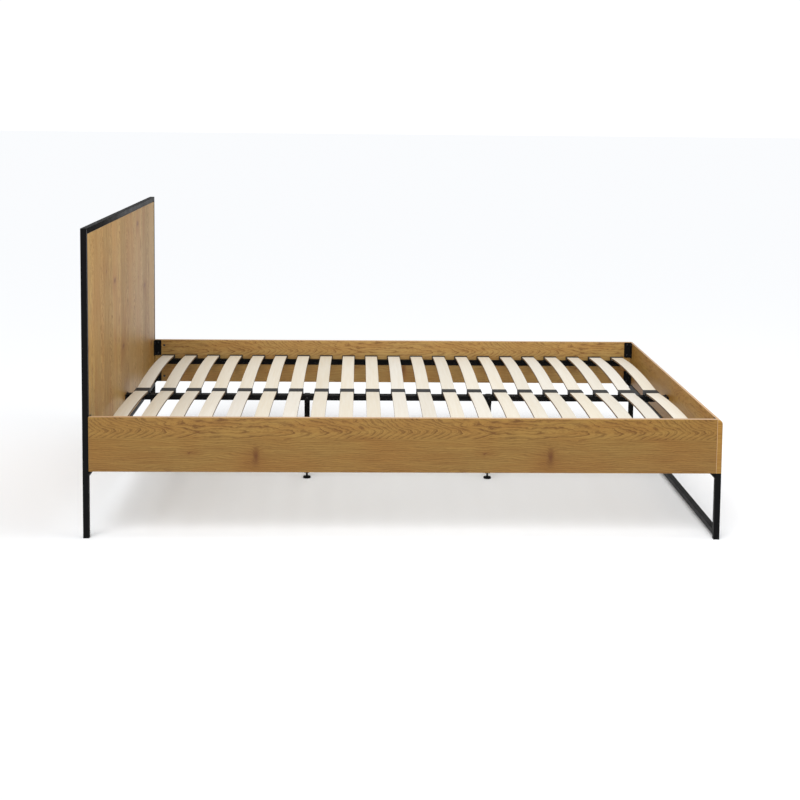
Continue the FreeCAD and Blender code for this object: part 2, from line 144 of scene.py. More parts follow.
def soften(mesh, degrees=32.0):
    """Smooth shading on curves, flat on the level faces, and sharp across real corners."""
    curved = [max(map(abs, face.normal)) < 0.9995 for face in mesh.polygons]
    mesh.polygons.foreach_set("use_smooth", curved)
    mesh.set_sharp_from_angle(angle=math.radians(degrees))


def to_mesh(name, bm, merge=0.0):
    """A mesh from the bmesh, with its normals facing out."""
    if merge:
        bmesh.ops.remove_doubles(bm, verts=bm.verts, dist=merge)
    bmesh.ops.recalc_face_normals(bm, faces=bm.faces)
    mesh = bpy.data.meshes.new(name)
    bm.to_mesh(mesh)
    bm.free()
    soften(mesh)
    return mesh


def merged(node):
    """A bmesh of the CAD node, with its loose triangles joined."""
    bm = bmesh.new()
    bm.from_mesh(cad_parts[node].data)
    bmesh.ops.remove_doubles(bm, verts=bm.verts, dist=0.00002)
    bmesh.ops.dissolve_degenerate(bm, dist=0.000005, edges=bm.edges)
    return bm


def settle(piece, body, nodes=(), materials=()):
    """Gives a finished piece its materials and body, and hides the CAD nodes that it stands for."""
    for material in materials:
        piece.data.materials.append(material)
    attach(piece, body)
    if nodes:
        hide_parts(*nodes)


def coated(node, ending, coat):
    """The CAD node's own shape as a smooth mesh with a finish."""
    made = link(node + ending, to_mesh(node, merged(node)))
    settle(made, "frame", [node], [finish(coat)])


def islands(bm):
    """The separate solids of a bmesh, each a list of vertices."""
    seen = set()
    found = []
    bm.verts.ensure_lookup_table()
    for first in bm.verts:
        if first in seen:
            continue
        group = [first]
        seen.add(first)
        for vert in group:
            for edge in vert.link_edges:
                other = edge.other_vert(vert)
                if other not in seen:
                    seen.add(other)
                    group.append(other)
        found.append(group)
    return found


def extent(group, axis):
    """The lowest and highest place along an axis of some vertices."""
    places = [vert.co[axis] for vert in group]
    return min(places), max(places)


def spans(node, axis):
    """The lowest and highest place along an axis of each solid in a CAD node."""
    bm = merged(node)
    found = sorted(extent(group, axis) for group in islands(bm))
    bm.free()
    return found


def seats(node, head):
    """(point under the head, unit direction of the shank) of every fastener in a CAD node."""
    bm = merged(node)
    found = []
    for group in islands(bm):
        ends = [extent(group, axis) for axis in range(3)]
        middle = Vector((low + high) / 2 for low, high in ends)
        axis = max(range(3), key=lambda i: ends[i][1] - ends[i][0])
        reach = []
        for end in ends[axis]:
            near = [v.co for v in group if abs(v.co[axis] - end) < 0.1 * MM]
            reach.append(max((p - middle).length_squared - (p[axis] - middle[axis]) ** 2
                             for p in near))
        # the head is at the wider end
        at_low = reach[0] > reach[1]
        way = Vector((0, 0, 0))
        way[axis] = 1.0 if at_low else -1.0
        middle[axis] = ends[axis][0 if at_low else 1]
        found.append((middle + way * head, way))
    bm.free()
    return found


def grown(name, tree, inputs, base=None):
    """Runs a Geometry Nodes tree with its inputs set, and returns a plain mesh object."""
    made = link(name, base or bpy.data.meshes.new(name))
    modifier = made.modifiers.new(name, "NODES")
    modifier.node_group = tree
    for item in tree.interface.items_tree:
        if item.item_type == "SOCKET" and item.in_out == "INPUT" and item.name in inputs:
            modifier[item.identifier] = inputs[item.name]
    graph = bpy.context.evaluated_depsgraph_get()
    mesh = bpy.data.meshes.new_from_object(made.evaluated_get(graph),
                                           preserve_all_data_layers=True, depsgraph=graph)
    made.modifiers.remove(modifier)
    made.data = mesh
    mesh.name = name
    return made


def tree_with(name, inputs):
    """A Geometry Nodes tree with named inputs (kind, name, default) and one geometry output: the
    tree, its inputs by name, and the node that ends it."""
    tree = bpy.data.node_groups.new(name, "GeometryNodeTree")
    tree.interface.new_socket("Geometry", in_out="OUTPUT", socket_type="NodeSocketGeometry")
    for kind, label, default in inputs:
        made = tree.interface.new_socket(label, in_out="INPUT", socket_type="NodeSocket" + kind)
        if default is not None:
            made.default_value = default
    return tree, tree.nodes.new("NodeGroupInput").outputs, tree.nodes.new("NodeGroupOutput")


# ---- what a user would change --------------------------------------------
def length(name, size, description):
    """A property for a length, given in millimetres."""
    return FloatProperty(name=name, description=description, default=size * MM, min=0.0,
                         subtype="DISTANCE", unit="LENGTH")


def paint(name, code, description):
    """A property for a colour, given as sRGB hex."""
    return FloatVectorProperty(name=name, description=description, default=linear(code),
                               size=3, min=0, max=1, subtype="COLOR")


class BedSizes(bpy.types.PropertyGroup):
    """Sizes of the visible detail."""

    slat_bow: length("Slat bow", 15, "How far a slat's middle stands above its ends")
    slat_width: length("Slat width", 50, "Width of one slat")
    slat_thickness: length("Slat thickness", 8, "Thickness of one slat")
    slat_edge: length("Slat edge", 1.6, "Rounding of a slat's long edges")
    slat_rows: IntProperty(name="Slat rows", description="Number of slat rows", default=21, min=2)
    nose_round: length("Footboard nose", 16, "Rounding along the footboard's outer top edge")
    nose_edge: length("Footboard edge", 1.2, "Rounding of the footboard's other edges")
    board_edge: length("Board edge", 0.8, "Rounding of the rails' and the headboard's edges")
    nut_bore: length("Nut bore", 5.3, "Radius of the bores for the barrel nuts")
    nut_depth: length("Nut depth", 13, "Depth of the bores for the barrel nuts")
    weld_size: length("Weld size", 2.2, "Leg of the small welds between tubes")
    plate: length("Plate", 2.5, "Thickness of the brackets and ledgers")
    plate_bend: length("Plate bend", 2.0, "Inside bend radius of the brackets and ledgers")
    plate_corner: length("Plate corner", 4, "Rounding of the brackets' corners")
    saddle_plate: length("Saddle plate", 2, "Thickness of the leg saddles")
    saddle_bend: length("Saddle bend", 3.2, "Outside bend radius of the leg saddles")
    stud_pitch: length("Stud pitch", 1.25, "Thread pitch of the adjusting studs")


class BedColours(bpy.types.PropertyGroup):
    """Colours of the finishes."""

    oak_light: paint("Oak early wood", "A47D3E", "The pale part of the oak grain")
    oak_dark: paint("Oak late wood", "744F22", "The dark lines of the oak grain")
    oak_knot: paint("Oak knot", "6A3E18", "The knots")
    # the edging's pale colour is partly the strip's own and partly a painted reflection along the
    # top edges
    oak_edge_and_painted_reflection: paint("Oak edging", "C4A07A", "The edging strip on the boards")
    birch: paint("Birch", "E0DBD0", "The faces of the slats")
    birch_edge: paint("Birch edge", "866744", "The laminated edges of the slats")
    black: paint("Black coat", "0B0B0C", "The powder coat on the steel")
    rubber: paint("Rubber", "1C1C1D", "The slat caps")


# ---- finishes ------------------------------------------------------------
def oak(name, order, offset, look, cast_and_painted_light, depth):
    """Oak foil on a board, matt lacquered: cathedral arches in the upper part of a stave, straight
    grain and small knots in the lower. order is the object axes along and across the grain, the
    colour factor after look the board's own cast times the painted light, painted shade or
    painted reflection given to that board, and depth how strong its grain is."""
    material, tree = fresh(name)
    split = add(tree, SEPARATE, [add(tree, PLACE).outputs["Object"]])
    level = add(tree, MATH, [split.outputs[order[1]], offset[1]], "ADD")
    # each stave starts elsewhere in the print and has its own tone
    stave = add(tree, MATH, [level, STAVE_FOOT], "SUBTRACT")
    stave = add(tree, MATH, [stave, STAVE], "DIVIDE")
    stave = add(tree, MATH, [stave], "FLOOR")
    along = add(tree, MATH, [split.outputs[order[0]], offset[0]], "ADD")
    along = add(tree, MATH, [stave, STAVE_STAGGER, along], "MULTIPLY_ADD")
    wrapped = add(tree, MATH, [along, PRINT_LENGTH, 0.0], "WRAP")
    over = add(tree, MATH, [level, STAVE_FOOT + STAVE, STAVE_FOOT], "WRAP")
    # the repeat is rolled into a hoop, so that the noise has no seam
    turn = math.tau / PRINT_LENGTH
    angle = add(tree, MATH, [along, turn], "MULTIPLY")
    east, north = [add(tree, MATH, [angle], kind) for kind in ("COSINE", "SINE")]
    hoop = add(tree, COMBINE, [east, north, level])
    hoop = add(tree, VECTOR, [hoop, (HOOP_RADIUS, HOOP_RADIUS, 1.0)], "MULTIPLY")

    noise = {}
    for key, length_scale, width_scale, detail, roughness in (
            ("sway", 8.0, 26.0, 4.0, 0.55),  # slow bends, about 200 mm long and 40 mm high
            ("rough", 60.0, 60.0, 3.0, 0.6),  # the torn outline of the knots
            ("fade", 30.0, 70.0, 2.0, 0.5),  # strength that comes and goes along the lines
            ("fine", 14.0, 520.0, 2.0, 0.6),  # fibres, drawn about 1.5 mm wide so that they show
            ("pores", 70.0, 1100.0, 1.0, 0.5),
            ("streak", 6.0, 75.0, 3.0, 0.55),
            ("patch", 3.0, 9.0, 2.0, 0.5)):
        scale = (length_scale, length_scale, width_scale)
        spread = add(tree, VECTOR, [hoop, scale], "MULTIPLY")
        noise[key] = add(tree, NOISE, {
            "Vector": spread, "Scale": 1.0, "Detail": detail, "Roughness": roughness})
    bend = add(tree, MATH, [noise["sway"], 0.5], "SUBTRACT")

    # arches: rings packed closely in one half of each repeat and stretched out in the other
    rings = add(tree, MATH, [wrapped, turn, 0.25], "MULTIPLY_ADD")
    rings = add(tree, MATH, [rings], "SINE")
    rings = add(tree, MATH, [rings, 3.3], "MULTIPLY")
    rings = add(tree, MATH, [wrapped, 21 / PRINT_LENGTH, rings], "MULTIPLY_ADD")
    away = add(tree, MATH, [over, ARCH_LINE], "SUBTRACT")
    away = add(tree, MATH, [bend, 0.022, away], "MULTIPLY_ADD")
    away = add(tree, MATH, [away, away, 0.000012], "MULTIPLY_ADD")
    away = add(tree, MATH, [away], "SQRT")
    arch = add(tree, MATH, [away, 78.0, rings], "MULTIPLY_ADD")
    arch = add(tree, MATH, [bend, 3.6, arch], "MULTIPLY_ADD")
    thin = add(tree, MATH, [arch, 2.63], "MULTIPLY")

    # knots: how dark each spot is, and how far the warm cast of the large ones reaches
    torn = add(tree, VECTOR, [noise["rough"].outputs["Color"], (0.5, 0.5, 0.5)],
               "SUBTRACT")
    torn = add(tree, VECTOR, [torn, (0.022, 0.026, 0.0)], "MULTIPLY")
    torn = add(tree, VECTOR, [add(tree, COMBINE, [wrapped, over]), torn], "ADD")
    dark = heat = 0.0
    for x, z, long, high, strength in KNOTS:
        gap = add(tree, VECTOR, [torn, (x, z, 0.0)], "SUBTRACT")
        gap = add(tree, VECTOR, [gap, (1 / long, 1 / high, 0.0)], "MULTIPLY")
        gap = add(tree, VECTOR, [gap], "LENGTH")
        gap = add(tree, MATH, [gap.outputs["Value"], 2.0], "POWER")
        gap = add(tree, MATH, [gap, -1.0], "MULTIPLY")
        gap = add(tree, MATH, [gap], "EXPONENT")
        dark = add(tree, MATH, [gap, strength, dark], "MULTIPLY_ADD")
        if long * high > 0.0002:
            heat = add(tree, MATH, [gap, heat], "ADD")

    # straight grain: lines about 5 mm apart that part round the knots
    straight = add(tree, MATH, [over, 150.0], "MULTIPLY")
    straight = add(tree, MATH, [bend, 4.5, straight], "MULTIPLY_ADD")
    straight = add(tree, MATH, [dark, 2.2, straight], "MULTIPLY_ADD")

    # every line fades in slowly on one side and ends sharply on the other
    drawn = []
    for source, stops in (
            (arch, [(0.0, 0.05), (0.45, 0.14), (0.72, 0.50), (0.87, 1.0), (1.0, 0.05)]),
            (thin, [(0.0, 0.0), (0.45, 0.1), (0.8, 0.9), (1.0, 0.0)]),
            (straight, [(0.0, 0.15), (0.45, 0.35), (0.80, 0.62), (1.0, 0.15)])):
        step = add(tree, MATH, [source], "FRACT")
        drawn.append(add(tree, RAMP, [step], stops=stops))
    lines, thinner, plain = drawn
    fade = add(tree, RAMP, [noise["fade"]], stops=[(0.30, 0.35), (0.68, 1.0)])
    lines = add(tree, MATH, [thinner, 0.60, lines], "MULTIPLY_ADD")
    lines = add(tree, MATH, [lines, fade], "MULTIPLY")
    upper = add(tree, "ShaderNodeMapRange", [over, ARCH_FOOT, ARCH_FOOT + 2.5 * MM])
    grain = add(tree, MIX, {0: upper, 2: plain, 3: lines}, data_type="FLOAT")

    pores = add(tree, RAMP, [noise["pores"]], stops=[(0.58, 0.0), (0.70, 1.0)])
    amount = add(tree, MATH, [grain, 0.80], "MULTIPLY")
    for source, share in ((noise["fine"], 0.50), (noise["streak"], 0.50), (pores, 0.16)):
        amount = add(tree, MATH, [source, share, amount], "MULTIPLY_ADD")
    tone = add(tree, MATH, [stave, 2.4], "MULTIPLY")
    tone = add(tree, MATH, [tone], "SINE")
    amount = add(tree, MATH, [amount, 0.81], "SUBTRACT")
    amount = add(tree, MATH, [tone, 0.09, amount], "MULTIPLY_ADD")
    amount = add(tree, MATH, [amount, depth, 0.42], "MULTIPLY_ADD", use_clamp=True)
    warm = add(tree, MATH, [noise["streak"], 0.45, noise["patch"]], "MULTIPLY_ADD")
    warm = add(tree, RAMP, [warm], stops=[(0.62, 0.0), (0.90, 0.85)])
    warm = add(tree, MATH, [heat, 0.6, warm], "MULTIPLY_ADD", use_clamp=True)
    dark = add(tree, MATH, [dark, 0.85], "MULTIPLY", use_clamp=True)
    colour = add(tree, MIX, {0: amount, 6: (*look.oak_light, 1), 7: (*look.oak_dark, 1)},
                 data_type="RGBA")
    # the warm streaks and the knots are the foil's own colour; the last factor is the board's own
    # cast together with its painted light, painted shade or painted reflection
    for share, glaze, blend in (
            (warm, (1.0, 0.86, 0.74, 1), "MULTIPLY"), (dark, (*look.oak_knot, 1), "MIX"),
            (1.0, (*cast_and_painted_light, 1), "MULTIPLY")):
        colour = add(tree, MIX, {0: share, 6: colour.outputs[2], 7: glaze},
                     data_type="RGBA", blend_type=blend)

    sheen = add(tree, RAMP, [amount], stops=[(0.0, 0.44), (1.0, 0.56)])
    relief = add(tree, MATH, [pores, -0.6, noise["fine"]], "MULTIPLY_ADD")
    relief = add(tree, BUMP, {"Strength": 0.16, "Distance": 0.0002, "Height": relief})
    shader = add(tree, SHADER, {"Base Color": colour.outputs[2], "Roughness": sheen, "IOR": 1.5,
                                "Specular IOR Level": 0.28, "Normal": relief})
    add(tree, OUTPUT, [shader])
    return material


def oak_edging_and_painted_reflection(name, look):
    """Paler melamine edging strip: thin lines along the edge, a little glossier than the faces.
    Its pale colour is partly the strip's own and partly a painted reflection along the top edges.
    """
    material, tree = fresh(name)
    grain = add(tree, VECTOR, [add(tree, PLACE).outputs["Object"], (12.0, 12.0, 12.0)],
                "MULTIPLY")
    grain = add(tree, NOISE, {"Vector": grain, "Scale": 1.0, "Detail": 6.0, "Roughness": 0.7})
    # pale partly by the strip's own colour, partly as a painted reflection along the top edges
    pale, deep = shades(look.oak_edge_and_painted_reflection, 1.06, 0.86)
    colour = add(tree, MIX, {0: grain, 6: pale, 7: deep}, data_type="RGBA")
    shader = add(tree, SHADER, {"Base Color": colour.outputs[2], "Roughness": 0.42, "IOR": 1.5})
    add(tree, OUTPUT, [shader])
    return material


def birch_face(name, look):
    """Clear-lacquered birch veneer: pale cream with faint long figure, and each slat a little
    different."""
    material, tree = fresh(name)
    tone = add(tree, "ShaderNodeAttribute", attribute_name="tone").outputs["Fac"]
    shift = add(tree, COMBINE, [tone, tone, 0.0])
    shift = add(tree, VECTOR, [shift, (3.1, 7.7, 0.0)], "MULTIPLY")
    spot = add(tree, VECTOR, [add(tree, PLACE).outputs["Object"], shift], "ADD")
    long = add(tree, VECTOR, [spot, (130.0, 5.0, 1.0)], "MULTIPLY")
    long = add(tree, NOISE, {"Vector": long, "Scale": 1.0, "Detail": 4.0, "Roughness": 0.6})
    fleck = add(tree, VECTOR, [spot, (900.0, 60.0, 1.0)], "MULTIPLY")
    fleck = add(tree, NOISE, {"Vector": fleck, "Scale": 1.0, "Detail": 1.0})
    fleck = add(tree, RAMP, [fleck], stops=[(0.60, 0.0), (0.74, 1.0)])
    amount = add(tree, MATH, [long, 1.1, -0.25], "MULTIPLY_ADD", use_clamp=True)
    amount = add(tree, MATH, [fleck, 0.10, amount], "MULTIPLY_ADD", use_clamp=True)
    figure = [c * f for c, f in zip(look.birch, (0.86, 0.80, 0.70))]
    colour = add(tree, MIX, {0: amount, 6: (*look.birch, 1), 7: (*figure, 1)}, data_type="RGBA")
    value = add(tree, "ShaderNodeMapRange", {"Value": tone, 3: 0.93, 4: 1.03})
    cast = add(tree, MATH, [tone, 7.3], "MULTIPLY")
    cast = add(tree, MATH, [cast], "FRACT")
    cast = add(tree, "ShaderNodeMapRange", {"Value": cast, 3: 0.80, 4: 1.35})
    colour = add(tree, "ShaderNodeHueSaturation", {
        "Color": colour.outputs[2], "Saturation": cast, "Value": value})
    relief = add(tree, BUMP, {"Strength": 0.10, "Distance": 0.0002, "Height": long})
    shader = add(tree, SHADER, {"Base Color": colour, "Roughness": 0.45, "IOR": 1.5,
                                "Normal": relief})
    add(tree, OUTPUT, [shader])
    return material


def birch_ply(name, look):
    """Sawn edge of the laminated slats, a much darker brown than the faces: thin veneers with
    darker glue lines between them.
    """
    material, tree = fresh(name)
    layer = add(tree, "ShaderNodeAttribute", attribute_name="layer")
    streak = add(tree, VECTOR, [add(tree, PLACE).outputs["Object"], (1.0, 14.0, 500.0)],
                 "MULTIPLY")
    streak = add(tree, NOISE, {"Vector": streak, "Scale": 1.0, "Detail": 3.0})
    # six veneers of about 1.3 mm
    ply = add(tree, MATH, [layer.outputs["Fac"], 6.0], "MULTIPLY")
    ply = add(tree, MATH, [ply], "FRACT")
    ply = add(tree, RAMP, [ply], stops=[(0.0, 0.9), (0.16, 0.1), (0.84, 0.0), (1.0, 0.9)])
    amount = add(tree, MATH, [streak, 0.6, ply], "MULTIPLY_ADD", use_clamp=True)
    pale, glue = shades(look.birch_edge, 1.0, 0.38)
    colour = add(tree, MIX, {0: amount, 6: pale, 7: glue}, data_type="RGBA")
    shader = add(tree, SHADER, {"Base Color": colour.outputs[2], "Roughness": 0.7, "IOR": 1.5})
    add(tree, OUTPUT, [shader])
    return material


def mottled(name, colours, cloud, fine, sheen, bump, shine):
    """A coat, moulding or plating whose colour and roughness drift between two values over a cloudy
    noise, with a finer relief. Each noise is (scale, detail), and bump is (strength, distance)."""
    material, tree = fresh(name)
    where = add(tree, PLACE).outputs["Object"]
    drift, grit = [add(tree, NOISE, {"Vector": where, "Scale": scale, "Detail": detail})
                   for scale, detail in (cloud, fine)]
    colour = add(tree, MIX, {0: drift, 6: colours[0], 7: colours[1]}, data_type="RGBA")
    rough = add(tree, RAMP, [drift], stops=[(0.3, sheen[0]), (0.7, sheen[1])])
    relief = add(tree, BUMP, {"Strength": bump[0], "Distance": bump[1], "Height": grit})
    shader = add(tree, SHADER, {"Base Color": colour.outputs[2], "Roughness": rough,
                                "Normal": relief, **shine})
    add(tree, OUTPUT, [shader])
    return material


def finish(name):
    """The finish of that name, made the first time it is asked for."""
    if name in bpy.data.materials:
        return bpy.data.materials[name]
    look = bpy.context.scene.bed_colours
    foils = {
        # (axes along and across the grain, offset of the print, the board's own cast times its
        # painted light or shade, depth of the grain)
        # the two side rails carry one foil: the near rail's copy is tinted darker, a painted shade,
        # and the far rail's copy paler and greyer, a painted light
        "oak_foil_rail": ((0, 2), (0.977, 0.0), (0.80, 0.83, 0.83), 1.35),
        "oak_foil_rail_far": ((0, 2), (1.42, 0.0), (1.05, 1.19, 1.60), 1.15),
        "oak_foil_foot": ((1, 2), (1.9, 0.0), (1.05, 1.07, 0.93), 0.9),
        # the headboard's copy is tinted paler and greyer, most in blue: a painted reflection of the
        # bright room on its upright face, seen at a grazing angle, over the foil's own cast
        "oak_foil_head": ((2, 1), (0.13, 0.891), (1.37, 1.52, 1.88), 1.6),
    }
    if name in foils:
        order, offset, cast_and_painted_light, depth = foils[name]
        return oak(name, order, offset, look, cast_and_painted_light, depth)
    woods = {"oak_melamine_edging": oak_edging_and_painted_reflection, "birch_veneer_lacquered": birch_face,
             "birch_laminate_edge": birch_ply}
    if name in woods:
        return woods[name](name, look)
    steel = {"Metallic": 1.0}
    others = {
        # satin black powder coat: orange peel about 1.5 mm across breaks up the highlights
        "powder_coated_steel": (shades(look.black, 0.8, 1.25), (14.0, 3.0), (650.0, 2.0),
                                (0.46, 0.54), (0.22, 0.00015),
                                {"IOR": 1.5, "Specular IOR Level": 0.08}),
        # moulded caps and plugs: even and dull, with a fine spark-eroded texture
        "moulded_rubber": (shades(look.rubber, 0.8, 1.3), (35.0, 2.0), (900.0, 3.0),
                           (0.57, 0.68), (0.25, 0.0001), {"IOR": 1.5, "Specular IOR Level": 0.45}),
        "moulded_polyamide": (shades(look.black, 0.8, 1.3), (35.0, 2.0), (1400.0, 3.0),
                              (0.50, 0.61), (0.25, 0.00006),
                              {"IOR": 1.5, "Specular IOR Level": 0.08}),
        # zinc-plated steel: a dull metal with faint cloudy passivation and a fine grain
        "black_zinc_steel": ([(*linear("2A2A2C"), 1), (*linear("3D3D40"), 1)], (220.0, 3.0),
                             (1800.0, 1.0), (0.32, 0.46), (0.15, 0.00004), steel),
        "zinc_plated_steel": ([(*linear("3E3D3B"), 1), (*linear("5A5855"), 1)], (220.0, 3.0),
                              (1800.0, 1.0), (0.39, 0.53), (0.15, 0.00004), steel),
    }
    return mottled(name, *others[name])


# ---- shapes made in mesh code --------------------------------------------
def bent_plate(bm, path, low, high, thick, corner=0.0):
    """A steel plate bent along a path of (point, outward normal, distance along) stations, between
    two heights, with its four corners rounded."""
    total = path[-1][2]
    rows = 5 if corner else 1
    layers = []
    for depth in (0.0, -thick):
        grid = []
        for point, normal, run in path:
            near = min(run, total - run)
            cut = 0.0
            if near < corner:
                cut = corner - math.sqrt(max(corner ** 2 - (corner - near) ** 2, 0.0))
            base = point + normal * depth
            steps = [low + cut + (high - low - 2 * cut) * row / rows for row in range(rows + 1)]
            grid.append([bm.verts.new(base + Vector((0, 0, level))) for level in steps])
        layers.append(grid)
    outer, inner = layers
    for i in range(len(path) - 1):
        for j in range(rows):
            bm.faces.new((outer[i][j], outer[i + 1][j], outer[i + 1][j + 1], outer[i][j + 1]))
            bm.faces.new((inner[i][j + 1], inner[i + 1][j + 1], inner[i + 1][j], inner[i][j]))
        bm.faces.new((outer[i][0], inner[i][0], inner[i + 1][0], outer[i + 1][0]))
        bm.faces.new((outer[i][rows], outer[i + 1][rows], inner[i + 1][rows], inner[i][rows]))
    for j in range(rows):
        bm.faces.new((outer[0][j], outer[0][j + 1], inner[0][j + 1], inner[0][j]))
        bm.faces.new((outer[-1][j], inner[-1][j], inner[-1][j + 1], outer[-1][j + 1]))


def bent_path(corners, radius, inside, corner=0.0):
    """Stations along a flat line with rounded bends: (point, outward normal, distance along), for a
    plate that turns round the point inside."""
    points = [Vector((*place, 0)) for place in corners]
    line = [points[0]]
    for before, here, after in zip(points, points[1:], points[2:]):
        a = (before - here).normalized()
        b = (after - here).normalized()
        half = a.angle(b) / 2
        reach = radius / math.tan(half)
        centre = here + (a + b).normalized() * radius / math.sin(half)
        first, last = [(here + way * reach - centre).normalized() for way in (a, b)]
        line += [centre + first.slerp(last, step / 6) * radius for step in range(7)]
    line.append(points[-1])
    if corner:
        # more stations near both ends, for the rounded corners
        places = [corner * (1 - math.cos(math.radians(turn))) for turn in (20, 40, 60, 80, 90)]
        ahead = (points[1] - points[0]).normalized()
        back = (points[-2] - points[-1]).normalized()
        line[-1:-1] = [points[-1] + back * place for place in reversed(places)]
        line[1:1] = [points[0] + ahead * place for place in places]
    stations = []
    run = 0.0
    for index, here in enumerate(line):
        if index:
            run += (here - line[index - 1]).length
        ahead = line[min(index + 1, len(line) - 1)] - line[max(index - 1, 0)]
        stations.append((here, Vector((ahead.y, -ahead.x, 0)).normalized(), run))
    point, normal, run = stations[0]
    if (Vector((*inside, 0)) - point).dot(normal) > 0:
        stations = [(here, -normal, run) for here, normal, run in stations]
    return stations


def lay_along(bm, side=1):
    """Turns plates that were drawn upright so that they run along the bed, on one side of it."""
    for vert in bm.verts:
        x, y, z = vert.co
        vert.co = Vector((z, side * y, -x))


def lathe(bm, outline, centre=Vector((0, 0, 0)), steps=32):
    """A closed turned shape from (radius, height) pairs; a radius of 0 closes it on the axis."""
    rings = []
    for radius, height in outline:
        ring = []
        for step in range(steps if radius else 1):
            angle = math.tau * step / steps
            spot = Vector((radius * math.cos(angle), radius * math.sin(angle), height))
            ring.append(bm.verts.new(centre + spot))
        rings.append(ring)
    for lower, upper in zip(rings, rings[1:]):
        for step in range(steps):
            after = (step + 1) % steps
            corners = ((lower, step), (lower, after), (upper, after), (upper, step))
            face = list(dict.fromkeys(ring[place % len(ring)] for ring, place in corners))
            if len(face) > 2:
                bm.faces.new(face)


def carved(solid, cutters, itself=False):
    """The solid's mesh after its modifiers, with the cutters taken out of it. The objects go."""
    for cutter in cutters:
        cut = solid.modifiers.new("cut", "BOOLEAN")
        cut.operation = "DIFFERENCE"
        cut.solver = "EXACT"
        cut.use_self = itself
        cut.object = cutter
    graph = bpy.context.evaluated_depsgraph_get()
    mesh = bpy.data.meshes.new_from_object(solid.evaluated_get(graph), depsgraph=graph)
    for made in (solid, *cutters):
        bpy.data.objects.remove(made)
    soften(mesh)
    return mesh


def board_mesh(name, low, high, nose, edge, bores):
    """A board from corner to corner, its upper edge on the +X side rounded by nose and the others
    by edge, with blind bores (point on a face, radius, depth towards the nearer outer side)."""
    bm = bmesh.new()
    bmesh.ops.create_cube(bm, size=1.0)
    for vert in bm.verts:
        vert.co = Vector((high[i] if vert.co[i] > 0 else low[i]) for i in range(3))
    if nose:
        crest = [line for line in bm.edges
                 if all(v.co.x > high.x - MM and v.co.z > high.z - MM for v in line.verts)]
        bmesh.ops.bevel(bm, geom=crest, offset=nose, offset_type="OFFSET", segments=12,
                        profile=0.5, affect="EDGES")
    solid = link(name, to_mesh(name, bm))
    bevel = solid.modifiers.new("rounding", "BEVEL")
    bevel.limit_method = "ANGLE"
    bevel.offset_type = "OFFSET"
    bevel.width = edge
    bevel.segments = 2
    cutters = []
    for point, radius, depth in bores:
        bm = bmesh.new()
        side = 1 if point.y > 0 else -1
        lathe(bm, [(0, -2 * MM), (radius, -2 * MM), (radius, depth), (0, depth)], steps=24)
        for vert in bm.verts:
            x, y, z = vert.co
            vert.co = Vector((point.x + x, side * (abs(point.y) + z), point.z + y))
        cutters.append(link(name + "_bore", to_mesh("bore", bm)))
    return carved(solid, cutters)


def cross_screw(name, radius, height):
    """A pan head with a cross recess, its underside at the origin and its shank along -Z."""
    bm = bmesh.new()
    dome = [(1.0, 0.0), (1.0, 0.35), (0.93, 0.68), (0.72, 0.92), (0.4, 1.0), (0, 1.0)]
    shank = [(0, -6 * MM), (1.9 * MM, -6 * MM), (1.9 * MM, 0.0)]
    lathe(bm, shank + [(radius * out, height * up) for out, up in dome], steps=20)
    solid = link(name, to_mesh(name, bm))
    bm = bmesh.new()
    for turn in (0, 1):
        for vert in bmesh.ops.create_cube(bm, size=1.0)["verts"]:
            # each slot narrows towards its foot
            wide, z = (1.0, height * 1.2) if vert.co.z > 0 else (0.55, height * 0.3)
            x, y = vert.co.x * radius * 1.15 * wide, vert.co.y * radius * 0.28 * wide
            vert.co = Vector((y, x, z) if turn else (x, y, z))
    cutter = link(name + "_recess", to_mesh(name + "_recess", bm))
    return link(name, carved(solid, [cutter], itself=True))


def fasteners_tree():
    """Sets a fastener on every point, its axis along the point's facing, turned at random."""
    tree, given, end = tree_with("fasteners", [
        ("Geometry", "Seats", None), ("Object", "Fastener", None), ("Material", "Finish", None),
        ("Int", "Seed", 7)])
    facing = add(tree, "GeometryNodeInputNamedAttribute", {"Name": "facing"},
                 data_type="FLOAT_VECTOR")
    spin = add(tree, RANDOM, {3: math.tau, "Seed": given["Seed"]}, data_type="FLOAT")
    spun = add(tree, COMBINE, {2: spin.outputs[1]})
    spun = add(tree, "FunctionNodeEulerToRotation", [spun])
    aimed = add(tree, "FunctionNodeAlignRotationToVector", [spun, 1.0, facing], axis="Z")
    shape = add(tree, "GeometryNodeObjectInfo", {"Object": given["Fastener"]})
    placed = add(tree, INSTANCES, {"Points": given["Seats"], "Rotation": aimed,
                                   "Instance": shape.outputs["Geometry"]})
    real = add(tree, REALIZE, [placed])
    done = add(tree, SET_MATERIAL, {0: real, "Material": given["Finish"]})
    tree.links.new(done.outputs[0], end.inputs[0])
    return tree


def row_tree():
    """Repeats one shape along the bed, and gives each copy its own tone."""
    tree, given, end = tree_with("row", [
        ("Object", "Shape", None), ("Material", "Finish", None), ("Int", "Count", 21),
        ("Float", "Pitch", 0.0979), ("Float", "First", -0.979), ("Int", "Seed", 3)])
    step = add(tree, COMBINE, [given["Pitch"]])
    start = add(tree, COMBINE, [given["First"]])
    line = add(tree, LINE, {
        "Count": given["Count"], "Start Location": start, "Offset": step}, mode="OFFSET")
    tone = add(tree, RANDOM, {"Seed": given["Seed"]}, data_type="FLOAT")
    line = add(tree, STORE, {"Geometry": line, "Name": "tone", "Value": tone.outputs[1]},
               data_type="FLOAT", domain="POINT")
    shape = add(tree, "GeometryNodeObjectInfo", {"Object": given["Shape"]})
    placed = add(tree, INSTANCES, {"Points": line, "Instance": shape.outputs["Geometry"]})
    real = add(tree, REALIZE, [placed])
    done = add(tree, SET_MATERIAL, {0: real, "Material": given["Finish"]})
    tree.links.new(done.outputs[0], end.inputs[0])
    return tree


